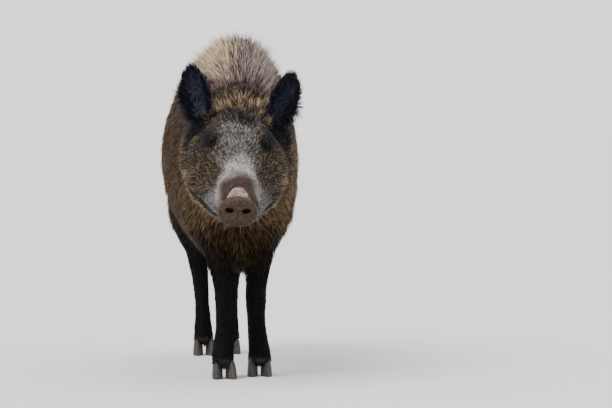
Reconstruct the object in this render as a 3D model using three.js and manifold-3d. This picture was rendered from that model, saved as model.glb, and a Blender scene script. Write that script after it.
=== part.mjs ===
// Wild boar, life size, standing on its four feet with its head turned a little to its right and tipped to its left.
// Millimetres, +Z up. The animal faces -Y and its left side is +X. The surfaces are the outline of its coat.
import * as THREE from "three";
import { mergeVertices } from "three/addons/utils/BufferGeometryUtils.js";
import Module from "manifold-3d";

const wasm = await Module();
wasm.setup();

// ---- Driving dimensions ----
const GAP = 0.35; // thin cut between neighbouring parts
const ROOM = 1800; // larger than the animal

const NAPE = { x: -20, y: -430, z: 520 }; // the head turns and tips about this point
const HEAD_TURN = -1.5; // degrees, towards its right
const HEAD_TIP = 4; // degrees, its left ear lower
const HEAD_SLOPE = 26; // degrees that the head's axis falls towards the nose
const NOSE = { y: -722, z: 401 }; // where the head's axis starts, behind the nose disc

// Places on the head are so far back from NOSE along the axis, up from the axis, and to the side.
const EYE = { back: 214, up: 60, side: 56, radius: 11.5 };
const ORBIT = { wide: 13, long: 17, high: 12, outwards: 9, forwards: 5, upwards: 3 };
const EAR = { back: 322, up: 66, side: 84, length: 126, wide: 43, thick: 11, cup: 16 };
const EAR_POSE = { lean: 16, open: 28, forwards: 4 }; // degrees outwards, of its opening outwards, and forwards
const DISC_BACK = 4; // the cut between nose disc and head
const NOSTRIL = { side: 18.5, up: 6, wide: 9, high: 6, deep: 13 };
const MOUTH = { back: 176, up: -44, slope: -5, corner: 38 }; // the corner, and the slopes before and behind it

// Cuts across the body lean forwards so many degrees and pass through (y, z).
const HEAD_CUT = { y: -400, z: 530, lean: 6 };
const NECK_CUT = { y: -338, z: 500, lean: 6 };
const CHEST_CUT = { y: -70, z: 500, lean: 0 };
const RUMP_CUT = { y: 262, z: 500, lean: -8 };

const TAIL_TUFT = 455; // level where the tail's tuft begins
const KNEE_CUT = 196; // levels of the cuts across the legs
const HOCK_CUT = 236;
const FOOT_CUT = 92;

const CLAW = { apart: 15.5, splay: 7, high: 43, side: 13, front: 41, back: 16 };
const DEWCLAW = { apart: 18, behind: 27, high: 60, low: 17, radius: 9 };

// How each leg stands: the middle of its foot, x out from the middle line.
const STANCES = {
  foreleg_left: { side: 1, foot: { x: 49, y: -272 } },
  foreleg_right: { side: -1, foot: { x: 38, y: -338 } },
  hindleg_left: { side: 1, foot: { x: 31, y: 430 } },
  hindleg_right: { side: -1, foot: { x: 35, y: 386 } },
};

const paint = (color, roughness) => new THREE.MeshStandardMaterial({ color, roughness, metalness: 0 });
const COLOURS = {
  coat: () => paint(0x5a4838, 0.85),
  face: () => paint(0x6b625a, 0.85),
  black: () => paint(0x1d1c20, 0.8),
  nose: () => paint(0x5c473c, 0.6),
  eye: () => paint(0x140c08, 0.08),
  horn: () => paint(0x57504a, 0.6),
};

const radians = THREE.MathUtils.degToRad;
const lerp = THREE.MathUtils.lerp;

// ---- Closed bodies through sections ----

// A section is a closed curve round a centre. It reaches up, down and to each side, its plane leans forwards from
// upright by lean degrees, and upper and lower say how square its halves are, where 2 is an ellipse.
function section(x, y, z, up, down, wide, lean = 0, upper = 2, lower = 2) {
  return { x, y, z, up, down, wide, lean, upper, lower };
}

// An upright section across the trunk, from its top and underside. mid is the height of its widest line.
function across(y, top, under, wide, mid, upper = 2, lower = 1.95) {
  return section(0, y, mid, top - mid, mid - under, wide, 0, upper, lower);
}

// A level section, from how far it reaches to the front, to the back and to each side.
function level(x, y, z, front, back, wide) {
  return section(x, y, z, front, back, wide, 90);
}

// A section across the head. sink lowers its widest line from the axis.
function headSection(back, up, down, wide, sink = 0, upper = 2.1, lower = 2) {
  const { y, z } = onHead(back, -sink);
  return section(0, y, z, up + sink, down - sink, wide, HEAD_SLOPE, upper, lower);
}

// Where a place on the head lies before the head is turned.
function onHead(back, up) {
  const slope = radians(HEAD_SLOPE);
  return {
    y: NOSE.y + back * Math.cos(slope) - up * Math.sin(slope),
    z: NOSE.z + back * Math.sin(slope) + up * Math.cos(slope),
  };
}

// The value at t, from 0 to 1, of a smooth curve through evenly spaced values.
function spline(values, t) {
  const spans = values.length - 1;
  const place = Math.min(t * spans, spans - 1e-9);
  const i = Math.floor(place);
  const f = place - i;
  const [a, b, c, d] = [-1, 0, 1, 2].map((k) => values[Math.min(Math.max(i + k, 0), spans)]);
  return b + 0.5 * f * (c - a + f * (2 * a - 5 * b + 4 * c - d + f * (3 * (b - c) + d - a)));
}

// A closed body through sections, with around sides and along rings. Its ends close at the end sections' centres.
// grow makes it larger all round.
function loft(sections, around, along, grow = 0) {
  const body = new THREE.SphereGeometry(1, around, along);
  const place = body.getAttribute("position");
  for (let ring = 0; ring <= along; ring++) {
    const at = {};
    for (const key of Object.keys(sections[0])) {
      at[key] = spline(sections.map((s) => s[key]), ring / along);
    }
    const closed = ring === 0 || ring === along;
    const lean = radians(at.lean);
    for (let k = 0; k <= around; k++) {
      const turn = (2 * Math.PI * k) / around;
      const c = Math.cos(turn);
      const s = Math.sin(turn);
      const power = 2 / (s > 0 ? at.upper : at.lower);
      const reach = (s > 0 ? at.up : at.down) + grow;
      const side = closed ? 0 : (at.wide + grow) * Math.sign(c) * Math.abs(c) ** power;
      const rise = closed ? 0 : reach * Math.sign(s) * Math.abs(s) ** power;
      const y = at.y - rise * Math.sin(lean);
      const z = at.z + rise * Math.cos(lean);
      place.setXYZ(ring * (around + 1) + k, at.x + side, y, z);
    }
  }
  return body;
}

// ---- Solids ----

// A closed geometry as a solid, its faces turned out.
function solid(geometry) {
  const bare = geometry.index ? geometry.toNonIndexed() : geometry.clone();
  for (const name of ["normal", "uv"]) bare.deleteAttribute(name);
  const merged = mergeVertices(bare, 1e-3);
  const corners = new Uint32Array(merged.index.array);
  const vertProperties = new Float32Array(merged.attributes.position.array);
  const make = (triVerts) => new wasm.Manifold(new wasm.Mesh({ numProp: 3, vertProperties, triVerts }));
  const made = make(corners);
  if (made.volume() > 0) return made;
  for (let i = 0; i < corners.length; i += 3) [corners[i], corners[i + 1]] = [corners[i + 1], corners[i]];
  return make(corners);
}

// A solid as a named mesh.
function named(name, body, material) {
  const { vertProperties, triVerts } = body.getMesh();
  const geometry = new THREE.BufferGeometry();
  geometry.setAttribute("position", new THREE.BufferAttribute(vertProperties, 3));
  geometry.setIndex(new THREE.BufferAttribute(triVerts, 1));
  geometry.computeVertexNormals();
  const mesh = new THREE.Mesh(geometry, material);
  mesh.name = name;
  return mesh;
}

// The largest of a body's separate pieces, so that a cut leaves no crumb.
function largest(body) {
  return body.decompose().reduce((a, b) => (a.volume() > b.volume() ? a : b));
}

// Half of all space, in front of or behind a cut, starting clear of it.
function half({ y, z, lean }, inFront, clear = GAP / 2) {
  const box = new THREE.BoxGeometry(ROOM, ROOM, ROOM);
  box.translate(0, (inFront ? -1 : 1) * (ROOM / 2 + clear), 0);
  box.rotateX(radians(lean));
  return box.translate(0, y, z);
}

// A level cut, as half() takes it. Its front is the space below.
const levelCut = (z) => ({ y: 0, z, lean: 90 });

const before = (body, cut) => body.intersect(solid(half(cut, true)));
const behind = (body, cut) => body.intersect(solid(half(cut, false)));

// An ellipsoid, before it is turned and placed.
const ellipsoid = (wide, long, high, around = 10, along = 7) =>
  new THREE.SphereGeometry(1, around, along).scale(wide, long, high);

// ---- Trunk and neck ----

const TORSO = [
  section(0, -474, 500, 40, 40, 40, 22),
  section(0, -430, 505, 130, 112, 108, 22),
  section(0, -385, 502, 174, 160, 124, 16),
  section(0, -328, 492, 238, 216, 134, 8),
  across(-262, 788, 246, 140, 476),
  across(-190, 802, 242, 146, 478),
  across(-90, 787, 254, 152, 480),
  across(20, 764, 272, 156, 484, 2.05, 2.1),
  across(140, 744, 288, 155, 492, 2.1, 2),
  across(260, 727, 310, 148, 500, 2.1),
  across(370, 704, 344, 136, 508),
  across(455, 668, 392, 116, 514),
  across(518, 622, 440, 88, 520),
  across(556, 556, 505, 30, 530),
];
const SHOULDER = { x: 82, y: -256, z: 446, wide: 60, long: 92, high: 150, lean: 12 };
const HAM = { x: 68, y: 388, z: 466, wide: 60, long: 112, high: 150, lean: -12 };

// A muscle that swells the trunk's side, as a leaning ellipsoid.
function muscle(side, { x, y, z, wide, long, high, lean }, grow) {
  const shape = ellipsoid(wide + grow, long + grow, high + grow);
  return solid(shape.rotateX(radians(lean)).translate(side * x, y, z));
}

function torso(grow = 0) {
  let body = solid(loft(TORSO, 22, 25, grow));
  for (const side of [1, -1]) {
    for (const shape of [SHOULDER, HAM]) body = body.add(muscle(side, shape, grow));
  }
  return body;
}

// ---- Head ----

const SKULL = [
  headSection(-4, 30, 30, 38),
  headSection(14, 34, 34, 46),
  headSection(36, 36, 48, 54, 15, 2.1, 2.5),
  headSection(68, 42, 64, 64, 26, 2.05, 2.4),
  headSection(106, 50, 78, 78, 36, 2, 2.3),
  headSection(148, 60, 90, 94, 42, 2.05, 2.3),
  headSection(192, 73, 102, 109, 46, 2.35, 2.2),
  headSection(240, 85, 110, 118, 48, 2.35),
  headSection(285, 95, 114, 124, 50, 2.1),
  headSection(328, 103, 114, 126, 48, 2.1),
  headSection(372, 98, 106, 116, 38, 2.1),
  headSection(402, 60, 60, 60, 20),
];
const NOSE_DISC = [
  headSection(-15, 30, 31, 40, 2),
  headSection(-13, 35, 35, 44, 2, 1.9, 2.2),
  headSection(-6, 37, 36, 46, 2, 1.9, 2.2),
  headSection(1, 36, 35, 45, 2, 1.9, 2.2),
  headSection(9, 31, 31, 41, 2),
  headSection(16, 24, 24, 34, 2),
];

// Turns and tips a geometry of the straight head about the nape.
function turnHead(geometry) {
  geometry.translate(0, -NAPE.y, -NAPE.z).rotateY(radians(HEAD_TIP)).rotateZ(radians(HEAD_TURN));
  return geometry.translate(NAPE.x, NAPE.y, NAPE.z);
}

function skull(grow = 0) {
  return solid(turnHead(loft(SKULL, 20, 17, grow)));
}

function noseDisc() {
  const disc = solid(turnHead(loft(NOSE_DISC, 18, 8)));
  const { y, z } = onHead(-16, NOSTRIL.up);
  const pits = [1, -1].map((side) => {
    const pit = ellipsoid(NOSTRIL.wide, NOSTRIL.deep, NOSTRIL.high, 8, 5).rotateY(radians(side * 24));
    return solid(turnHead(pit.rotateX(radians(HEAD_SLOPE)).translate(side * NOSTRIL.side, y, z)));
  });
  return pits.reduce((body, pit) => body.subtract(pit), disc);
}

function eyeball(side, grow = 0) {
  const { y, z } = onHead(EYE.back, EYE.up);
  const ball = new THREE.SphereGeometry(EYE.radius + grow, 12, 8);
  return solid(turnHead(ball.translate(side * EYE.side, y, z)));
}

// The hollow in the coat and lids that shows the eye.
function orbit(side) {
  const { y, z } = onHead(EYE.back - ORBIT.forwards, EYE.up + ORBIT.upwards);
  const hollow = ellipsoid(ORBIT.wide, ORBIT.long, ORBIT.high, 10, 6).rotateX(radians(HEAD_SLOPE));
  return solid(turnHead(hollow.translate(side * (EYE.side + ORBIT.outwards), y, z)));
}

// The space of the lower jaw: below the lips' plane and before a plane down from the mouth's corner.
function jawSpace(clear) {
  const corner = onHead(MOUTH.back, MOUTH.up);
  const lips = { ...corner, lean: 90 + HEAD_SLOPE + MOUTH.slope };
  const cheek = { ...corner, lean: MOUTH.corner };
  return solid(turnHead(half(lips, true, clear))).intersect(solid(turnHead(half(cheek, true, clear))));
}

// An ear is a leaf with its rims bent forwards. Rows give its height, half width and thickness as shares.
const EAR_ROWS = [
  [-0.26, 0.5, 0.9],
  [-0.1, 0.62, 1.1],
  [0.06, 0.78, 1.1],
  [0.26, 0.95, 1],
  [0.48, 1, 0.85],
  [0.7, 0.86, 0.7],
  [0.88, 0.54, 0.55],
  [1, 0.12, 0.3],
];

function ear(side) {
  const rows = EAR_ROWS.map(([high, wide, thick]) => {
    const half = (thick * EAR.thick) / 2;
    return level(0, 0, high * EAR.length, half, half, wide * EAR.wide);
  });
  const leaf = loft(rows, 12, 8);
  const place = leaf.getAttribute("position");
  for (let i = 0; i < place.count; i++) {
    place.setY(i, place.getY(i) - EAR.cup * (place.getX(i) / EAR.wide) ** 2);
  }
  leaf.rotateZ(radians(side * EAR_POSE.open)).rotateX(radians(EAR_POSE.forwards));
  leaf.rotateY(radians(side * EAR_POSE.lean));
  const { y, z } = onHead(EAR.back, EAR.up);
  return solid(turnHead(leaf.translate(side * EAR.side, y, z)));
}

// ---- Tail ----

const TAIL = [
  level(0, 528, 606, 10, 10, 10),
  level(0, 548, 592, 16, 13, 14),
  level(0, 563, 562, 12, 11, 12),
  level(0, 570, 520, 10, 9, 10),
  level(0, 571, 475, 9, 9, 9),
  level(0, 569, 432, 12, 11, 14),
  level(0, 567, 392, 10, 9, 12),
  level(0, 566, 358, 3, 3, 3),
];

// ---- Legs ----

// Where a leg starts inside the trunk, and its rows down to the foot: height, how far it is out and back from the
// straight line between its start and its foot, and its reach to the front, back and side.
const FORELEG = {
  top: { x: 86, y: -284, z: 436 },
  rows: [
    [436, 0, 0, 30, 30, 24],
    [400, -2, 0, 66, 58, 40],
    [350, -9, 0, 60, 56, 38],
    [300, -17, 3, 47, 47, 34],
    [255, -23, 4, 37, 38, 30],
    [215, -25, 1, 31, 29, 27],
    [180, -23, -3, 31, 27, 27],
    [145, -19, 4, 25, 26, 24.5],
    [108, -13, 8, 23, 27, 24],
    [74, -6, 7, 27, 32, 27],
    [46, 0, 1, 30, 28, 29],
    [28, 0, 0, 30, 20, 28],
    [17, 0, 0, 15, 10, 14],
  ],
};
const HINDLEG = {
  top: { x: 82, y: 400, z: 470 },
  rows: [
    [470, 0, 0, 50, 50, 34],
    [420, 6, -4, 96, 88, 46],
    [370, 8, -8, 92, 80, 47],
    [325, 6, 2, 72, 66, 43],
    [285, -2, 20, 49, 48, 35],
    [250, -9, 38, 33, 38, 27],
    [218, -11, 47, 28, 34, 25],
    [185, -11, 41, 25, 28, 23],
    [145, -9, 25, 22, 23, 21],
    [105, -6, 12, 22, 24, 21.5],
    [72, -4, 8, 26, 30, 25],
    [46, 0, 1, 28, 26, 27],
    [28, 0, 0, 28, 19, 26],
    [17, 0, 0, 14, 9, 13],
  ],
};

function leg({ top, rows }, { side, foot }) {
  const floor = rows.at(-1)[0];
  const sections = rows.map(([z, out, back, ...reach]) => {
    const share = (top.z - z) / (top.z - floor);
    const x = lerp(top.x, foot.x, share) + out;
    return level(side * x, lerp(top.y, foot.y, share) + back, z, ...reach);
  });
  return solid(loft(sections, 12, 14));
}

// A claw of a foot, a half hoof with a flat sole at z = 0. out is 1 on the foot's outer side and -1 on its inner.
function claw({ side, foot }, out, grow = 0) {
  const { high, front, back, side: wide } = CLAW;
  const horn = loft(
    [
      level(0, 0, -14, front * 0.5, back * 0.5, wide * 0.5),
      level(0, 0, -5, front, back, wide),
      level(0, 0.5, 6, front - 1, back, wide),
      level(0, 1, 18, front - 6, back, wide - 0.5),
      level(0, 2, 31, front - 14, back - 2, wide - 1.5),
      level(0, 3, high, front - 26, back - 7, wide - 6),
      level(0, 3, high + 6, 6, 4, 4),
    ],
    8,
    6,
    grow,
  );
  horn.rotateZ(radians(side * out * CLAW.splay));
  horn.translate(side * (foot.x + out * CLAW.apart), foot.y, 0);
  return behind(solid(horn), levelCut(-GAP / 2 - grow));
}

// A dewclaw hangs behind the foot, clear of the floor.
function dewclaw({ side, foot }, out, grow = 0) {
  const { high, low, radius } = DEWCLAW;
  const horn = loft(
    [
      level(0, -10, high + 4, 4, 4, 4),
      level(0, -6, high - 8, radius, radius, radius * 0.8),
      level(0, 0, lerp(low, high, 0.45), radius, radius, radius * 0.8),
      level(0, 3, low + 4, radius * 0.6, radius * 0.6, radius * 0.6),
      level(0, 4, low, 2, 2, 2),
    ],
    6,
    5,
    grow,
  );
  return solid(horn.translate(side * (foot.x + out * DEWCLAW.apart), foot.y + DEWCLAW.behind, 0));
}

// ---- Assembly ----

const boar = new THREE.Group();
const add = (name, body, material) => boar.add(named(name, body, material));

// Everything that legs, ears and tail grow from, a gap larger.
const rootSpace = torso(GAP).add(skull(GAP));
const grownFrom = (body) => largest(body.subtract(rootSpace));

function addHeadAndTrunk() {
  let whole = torso().add(skull()).add(noseDisc());
  for (const side of [1, -1]) whole = whole.subtract(eyeball(side, GAP)).subtract(orbit(side));
  const head = before(whole, HEAD_CUT);
  const discCut = { ...onHead(DISC_BACK, 0), lean: HEAD_SLOPE };
  const disc = head.intersect(solid(turnHead(half(discCut, true))));
  const face = head.intersect(solid(turnHead(half(discCut, false))));
  add("nose_disc", largest(disc), COLOURS.nose());
  add("lower_jaw", largest(face.intersect(jawSpace(GAP / 2))), COLOURS.face());
  add("head", largest(face.subtract(jawSpace(-GAP / 2))), COLOURS.face());
  const body = behind(whole, HEAD_CUT);
  add("neck", largest(before(body, NECK_CUT)), COLOURS.coat());
  const trunk = behind(body, NECK_CUT);
  add("chest", largest(before(trunk, CHEST_CUT)), COLOURS.coat());
  add("belly", largest(before(behind(trunk, CHEST_CUT), RUMP_CUT)), COLOURS.coat());
  add("rump", largest(behind(trunk, RUMP_CUT)), COLOURS.coat());
}

function addEyesAndEars() {
  for (const [name, side] of [["left", 1], ["right", -1]]) {
    add(`eye_${name}`, eyeball(side), COLOURS.eye());
    add(`ear_${name}`, grownFrom(ear(side)), COLOURS.black());
  }
}

function addTail() {
  const tail = grownFrom(solid(loft(TAIL, 8, 10)));
  add("tail", behind(tail, levelCut(TAIL_TUFT)), COLOURS.coat());
  add("tail_tuft", before(tail, levelCut(TAIL_TUFT)), COLOURS.black());
}

function addLeg(name, stance) {
  const fore = name.startsWith("fore");
  let limb = grownFrom(leg(fore ? FORELEG : HINDLEG, stance));
  for (const [which, out] of [["outer", 1], ["inner", -1]]) {
    for (const [kind, horn] of [["claw", claw], ["dewclaw", dewclaw]]) {
      add(`${name}_${kind}_${which}`, horn(stance, out), COLOURS.horn());
      limb = limb.subtract(horn(stance, out, GAP));
    }
  }
  const ankle = levelCut(FOOT_CUT);
  const middle = levelCut(fore ? KNEE_CUT : HOCK_CUT);
  const lower = before(limb, middle);
  add(`${name}_upper`, largest(behind(limb, middle)), COLOURS.coat());
  add(`${name}_lower`, largest(behind(lower, ankle)), COLOURS.black());
  add(`${name}_foot`, largest(before(lower, ankle)), COLOURS.black());
}

addHeadAndTrunk();
addEyesAndEars();
addTail();
for (const [name, stance] of Object.entries(STANCES)) addLeg(name, stance);

// The origin is the middle of the box, on the floor.
const box = new THREE.Box3().setFromObject(boar);
const middle = box.getCenter(new THREE.Vector3());
boar.position.set(-middle.x, -middle.y, 0);

export default boar;
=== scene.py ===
import math
from collections import namedtuple

import bmesh
import bpy
import numpy as np
from mathutils import Matrix, Vector
from mathutils.bvhtree import BVHTree


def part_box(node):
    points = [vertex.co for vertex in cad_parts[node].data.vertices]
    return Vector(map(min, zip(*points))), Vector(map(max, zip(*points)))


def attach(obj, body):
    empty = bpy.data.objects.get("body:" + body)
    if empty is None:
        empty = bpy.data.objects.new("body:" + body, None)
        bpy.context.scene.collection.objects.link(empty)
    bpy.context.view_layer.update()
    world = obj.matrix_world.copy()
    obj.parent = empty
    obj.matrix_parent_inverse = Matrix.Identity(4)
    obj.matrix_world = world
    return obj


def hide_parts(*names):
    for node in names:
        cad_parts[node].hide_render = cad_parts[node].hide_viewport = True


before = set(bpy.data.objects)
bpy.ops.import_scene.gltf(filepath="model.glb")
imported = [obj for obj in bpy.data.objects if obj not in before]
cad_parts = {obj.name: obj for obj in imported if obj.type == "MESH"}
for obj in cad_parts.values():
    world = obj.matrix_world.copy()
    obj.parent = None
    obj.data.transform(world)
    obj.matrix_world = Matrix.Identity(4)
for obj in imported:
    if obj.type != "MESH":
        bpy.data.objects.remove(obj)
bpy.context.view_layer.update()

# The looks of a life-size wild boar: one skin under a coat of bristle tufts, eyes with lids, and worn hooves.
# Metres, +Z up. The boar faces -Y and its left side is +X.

MM = 0.001
SIDES = {"left": 1, "right": -1}


def middle(*nodes):
    corners = [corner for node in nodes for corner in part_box(node)]
    low = Vector([min(c[i] for c in corners) for i in range(3)])
    high = Vector([max(c[i] for c in corners) for i in range(3)])
    return (low + high) / 2


# ---- Camera, light and floor ----
# The camera looks at the boar's face from its own height, a little to the boar's right.

LENS_PIXELS = 3400.0  # focal length in pixels of a 612 pixel wide frame
FRAME_PIXELS = 612.0
SENSOR = 36.0
AZIMUTH = math.radians(4.5)
DISTANCE = 7.87  # from the fore feet
EYE_LEVEL = 0.65
TILT_DOWN = math.radians(1.8)
LEFT_OF_CENTRE = 64.0  # pixels from the fore feet to the middle of the frame


def place_camera():
    claws = [f"foreleg_{side}_claw_{which}" for side in SIDES for which in ("inner", "outer")]
    feet = sum((middle(claw) for claw in claws), Vector()) / len(claws)
    to_feet = Vector((math.sin(AZIMUTH), math.cos(AZIMUTH), 0))
    data = bpy.data.cameras.new("camera")
    data.sensor_width = SENSOR
    data.lens = LENS_PIXELS / FRAME_PIXELS * SENSOR
    data.clip_end = 60
    camera = bpy.data.objects.new("camera", data)
    bpy.context.scene.collection.objects.link(camera)
    camera.location = Vector((feet.x, feet.y, 0)) - to_feet * DISTANCE + Vector((0, 0, EYE_LEVEL))
    heading = AZIMUTH + math.atan(LEFT_OF_CENTRE / LENS_PIXELS)
    camera.rotation_euler = (math.pi / 2 - TILT_DOWN, 0, -heading)
    bpy.context.scene.camera = camera


def soft_sun(name, place, strength, softness):
    """Light from the way that place lies in, as soft as a lamp that looks softness degrees across."""
    data = bpy.data.lights.new(name, "SUN")
    data.energy = strength
    data.angle = math.radians(softness)
    light = bpy.data.objects.new(name, data)
    light.rotation_euler = Vector(place).to_track_quat("Z", "Y").to_euler()
    bpy.context.scene.collection.objects.link(light)


def light_studio():
    soft_sun("key_light", (-1.6, -1.5, 2.6), 3.0, 40)
    soft_sun("top_light", (0.6, 0.8, 3.0), 1.5, 60)
    bpy.context.scene.world = pale_room()


def pale_room():
    """An even pale light from all round, which looks as bright as the floor."""
    world = bpy.data.worlds.new("studio")
    world.use_nodes = True
    tree = world.node_tree
    light = tree.nodes["Background"]
    light.inputs["Color"].default_value = (0.93, 0.95, 1.0, 1)
    light.inputs["Strength"].default_value = 0.8
    wall = wire(tree, "ShaderNodeBackground", {"Color": (1.0, 0.99, 0.98, 1), "Strength": 1.62})
    seen = wire(tree, "ShaderNodeLightPath").outputs["Is Camera Ray"]
    both = wire(tree, "ShaderNodeMixShader", {0: seen, 1: light.outputs[0], 2: wall.outputs[0]})
    tree.links.new(both.outputs[0], tree.nodes["World Output"].inputs["Surface"])
    return world


def lay_floor():
    bm = bmesh.new()
    bmesh.ops.create_grid(bm, x_segments=1, y_segments=1, size=60)
    floor = piece_from("floor", bm)
    floor.data.materials.append(plain_floor())


# ---- Numbers over many points at once ----

def step(low, high, value):
    t = np.clip((value - low) / (high - low), 0, 1)
    return t * t * (3 - 2 * t)


def hill(value, centre, width):
    return np.exp(-(((value - centre) / width) ** 2))


def dot(a, b):
    return (a * b).sum(axis=-1)


def unit(vectors):
    return vectors / np.maximum(np.linalg.norm(vectors, axis=-1, keepdims=True), 1e-9)


def noise(points, size, seed):
    """Soft waves between about -1 and 1, whose bumps are about size across."""
    rng = np.random.default_rng(seed)
    total = np.zeros(len(points))
    for wave in range(7):
        way = unit(rng.normal(size=3)) * rng.uniform(0.7, 1.5) * math.pi / size
        total += np.sin(points @ way + rng.uniform(0, 2 * math.pi))
    return total / 2.6


def linear(colour):
    """A screen colour, each part from 0 to 255, as linear light."""
    part = np.array(colour) / 255
    return np.where(part < 0.04045, part / 12.92, ((part + 0.055) / 1.055) ** 2.4)


# ---- Places on the head ----
# A place on the head is so far to its left, back from the nose along the head's slope, and up from that line.

HEAD_SLOPE = math.radians(26)
HEAD_TURN = math.radians(-1.5)
HEAD_TIP = math.radians(4)
EYE_BACK = 214 * MM
EYE_UP = 60 * MM
EYE_RADIUS = 11.5 * MM


def head_axes():
    turned = Matrix.Rotation(HEAD_TURN, 3, "Z") @ Matrix.Rotation(HEAD_TIP, 3, "Y")
    left = turned @ Vector((1, 0, 0))
    back = turned @ Vector((0, math.cos(HEAD_SLOPE), math.sin(HEAD_SLOPE)))
    up = turned @ Vector((0, -math.sin(HEAD_SLOPE), math.cos(HEAD_SLOPE)))
    return np.array([left, back, up])


HEAD_AXES = head_axes()
HEAD_LEFT, HEAD_BACK, HEAD_UP = HEAD_AXES
EYES = {side: np.array(middle(f"eye_{side}")) for side in SIDES}
NOSE = (EYES["left"] + EYES["right"]) / 2 - EYE_BACK * HEAD_BACK - EYE_UP * HEAD_UP


def to_head(points):
    """Places on the head in millimetres: left, back and up."""
    return ((points - NOSE) @ HEAD_AXES.T / MM).T


# ---- Meshes ----

def piece_from(name, bm):
    mesh = bpy.data.meshes.new(name)
    bm.to_mesh(mesh)
    bm.free()
    return piece_of(name, mesh)


def piece_of(name, mesh):
    piece = bpy.data.objects.new(name, mesh)
    bpy.context.scene.collection.objects.link(piece)
    return piece


def finish_piece(piece, material, stands_for=()):
    piece.data.materials.append(material)
    piece.data.polygons.foreach_set("use_smooth", [True] * len(piece.data.polygons))
    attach(piece, "root")
    if stands_for:
        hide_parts(*stands_for)


def applied(piece):
    """The piece's mesh with its modifiers applied, as a new bmesh."""
    bpy.context.view_layer.update()
    shown = piece.evaluated_get(bpy.context.evaluated_depsgraph_get())
    bm = bmesh.new()
    bm.from_mesh(shown.to_mesh())
    shown.to_mesh_clear()
    return bm


def remeshed(bm, voxel, rounds):
    """A bmesh as one even shell with cells of the size voxel, eased so many rounds."""
    rough = piece_from("rough", bm)
    remesh = rough.modifiers.new("remesh", "REMESH")
    remesh.mode = "VOXEL"
    remesh.voxel_size = voxel
    shell = applied(rough)
    bpy.data.objects.remove(rough)
    ease(shell, shell.verts, rounds)
    return shell


def ease(bm, verts, rounds):
    for turn in range(rounds):
        bmesh.ops.smooth_vert(bm, verts=verts, factor=0.5, use_axis_x=True, use_axis_y=True, use_axis_z=True)


def copies_of(nodes, swell=0.0):
    """The nodes' meshes in one bmesh, their corners merged and each swollen a little."""
    bm = bmesh.new()
    for name in nodes:
        part = bmesh.new()
        part.from_mesh(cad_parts[name].data)
        bmesh.ops.remove_doubles(part, verts=part.verts, dist=0.005 * MM)
        part.normal_update()
        for v in part.verts:
            v.co += v.normal * swell
        loose = bpy.data.meshes.new("loose")
        part.to_mesh(loose)
        part.free()
        bm.from_mesh(loose)
        bpy.data.meshes.remove(loose)
    return bm


def read(items, field, width, kind=float):
    values = np.empty(len(items) * width, dtype=np.float32 if kind is float else np.int32)
    items.foreach_get(field, values)
    return values.reshape(-1, width).astype(kind)


def give(mesh, name, values, form="FLOAT"):
    """Stores one value for each vertex, as a number, a vector or a colour."""
    key = {"FLOAT": "value", "FLOAT_VECTOR": "vector", "FLOAT_COLOR": "color"}[form]
    values = np.asarray(values, dtype=np.float32)
    if form == "FLOAT_COLOR":
        values = np.column_stack([values, np.ones(len(values), dtype=np.float32)])
    mesh.attributes.new(name, form, "POINT").data.foreach_set(key, np.ascontiguousarray(values).ravel())


class Surface:
    """A triangle mesh as arrays, with its outward directions and the part that each vertex belongs to."""

    def __init__(self, mesh):
        self.points = read(mesh.vertices, "co", 3)
        self.edges = read(mesh.edges, "vertices", 2, int)
        self.faces = read(mesh.polygons, "vertices", 3, int)
        self.turn_out()
        self.parts = nearest_parts(self.points)

    def turn_out(self):
        a, b, c = self.points[self.faces].transpose(1, 0, 2)
        across = np.cross(b - a, c - a)
        self.areas = np.linalg.norm(across, axis=1) / 2
        corners = self.faces.T.ravel()
        count = len(self.points)
        out = [np.bincount(corners, np.tile(side, 3), count) for side in across.T]
        self.normals = unit(np.column_stack(out))

    def spread(self, values, rounds):
        """Values eased towards those of the neighbouring vertices, so many rounds."""
        count = len(self.points)
        a, b = self.edges.T
        share = 1 + np.bincount(self.edges.ravel(), minlength=count)
        columns = [column.astype(float) for column in np.reshape(values, (count, -1)).T]
        for turn in range(rounds):
            for i, column in enumerate(columns):
                around = np.bincount(a, column[b], count) + np.bincount(b, column[a], count)
                columns[i] = (column + around) / share
        return np.column_stack(columns).reshape(np.shape(values))

    def even_out(self, where, rounds):
        """Rounds off flat facets where it is 1."""
        self.points += (self.spread(self.points, rounds) - self.points) * where[:, None]
        self.turn_out()

    def on(self, *names, rounds=4):
        """1 on the parts whose names start so, easing to 0 beside them."""
        found = np.array([part.startswith(names) for part in self.part_names])[self.parts]
        return self.spread(found.astype(float), rounds)


# ---- The bare shape ----

FLESH = sorted(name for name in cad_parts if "claw" not in name and not name.startswith("eye"))
Surface.part_names = FLESH
SEAM = 0.4 * MM  # each part swells so far, which closes the cuts between them
VOXEL = 3.2 * MM
TRUNK_ROUNDS = 120
LIMB_ROUNDS = 14


def nearest_parts(points):
    """The number in FLESH of the part nearest to each point."""
    corners, faces, owners = [], [], []
    for number, name in enumerate(FLESH):
        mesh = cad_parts[name].data
        start = len(corners)
        corners += [v.co.copy() for v in mesh.vertices]
        faces += [[start + i for i in face.vertices] for face in mesh.polygons]
        owners += [number] * len(mesh.polygons)
    tree = BVHTree.FromPolygons(corners, faces)
    return np.array([owners[tree.find_nearest(p)[2]] for p in points.tolist()])


def bare_shape():
    """The outline of the coat as one fine shell, closed over the eyes, finer round the eyes and on the snout."""
    shell = remeshed(copies_of(FLESH + [f"eye_{side}" for side in SIDES], SEAM), VOXEL, 8)
    refine(shell, eyes_within=34, snout_to=66)
    refine(shell, eyes_within=22, snout_to=2)
    bmesh.ops.triangulate(shell, faces=shell.faces)
    mesh = bpy.data.meshes.new("skin")
    shell.to_mesh(mesh)
    shell.free()
    return mesh


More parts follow.
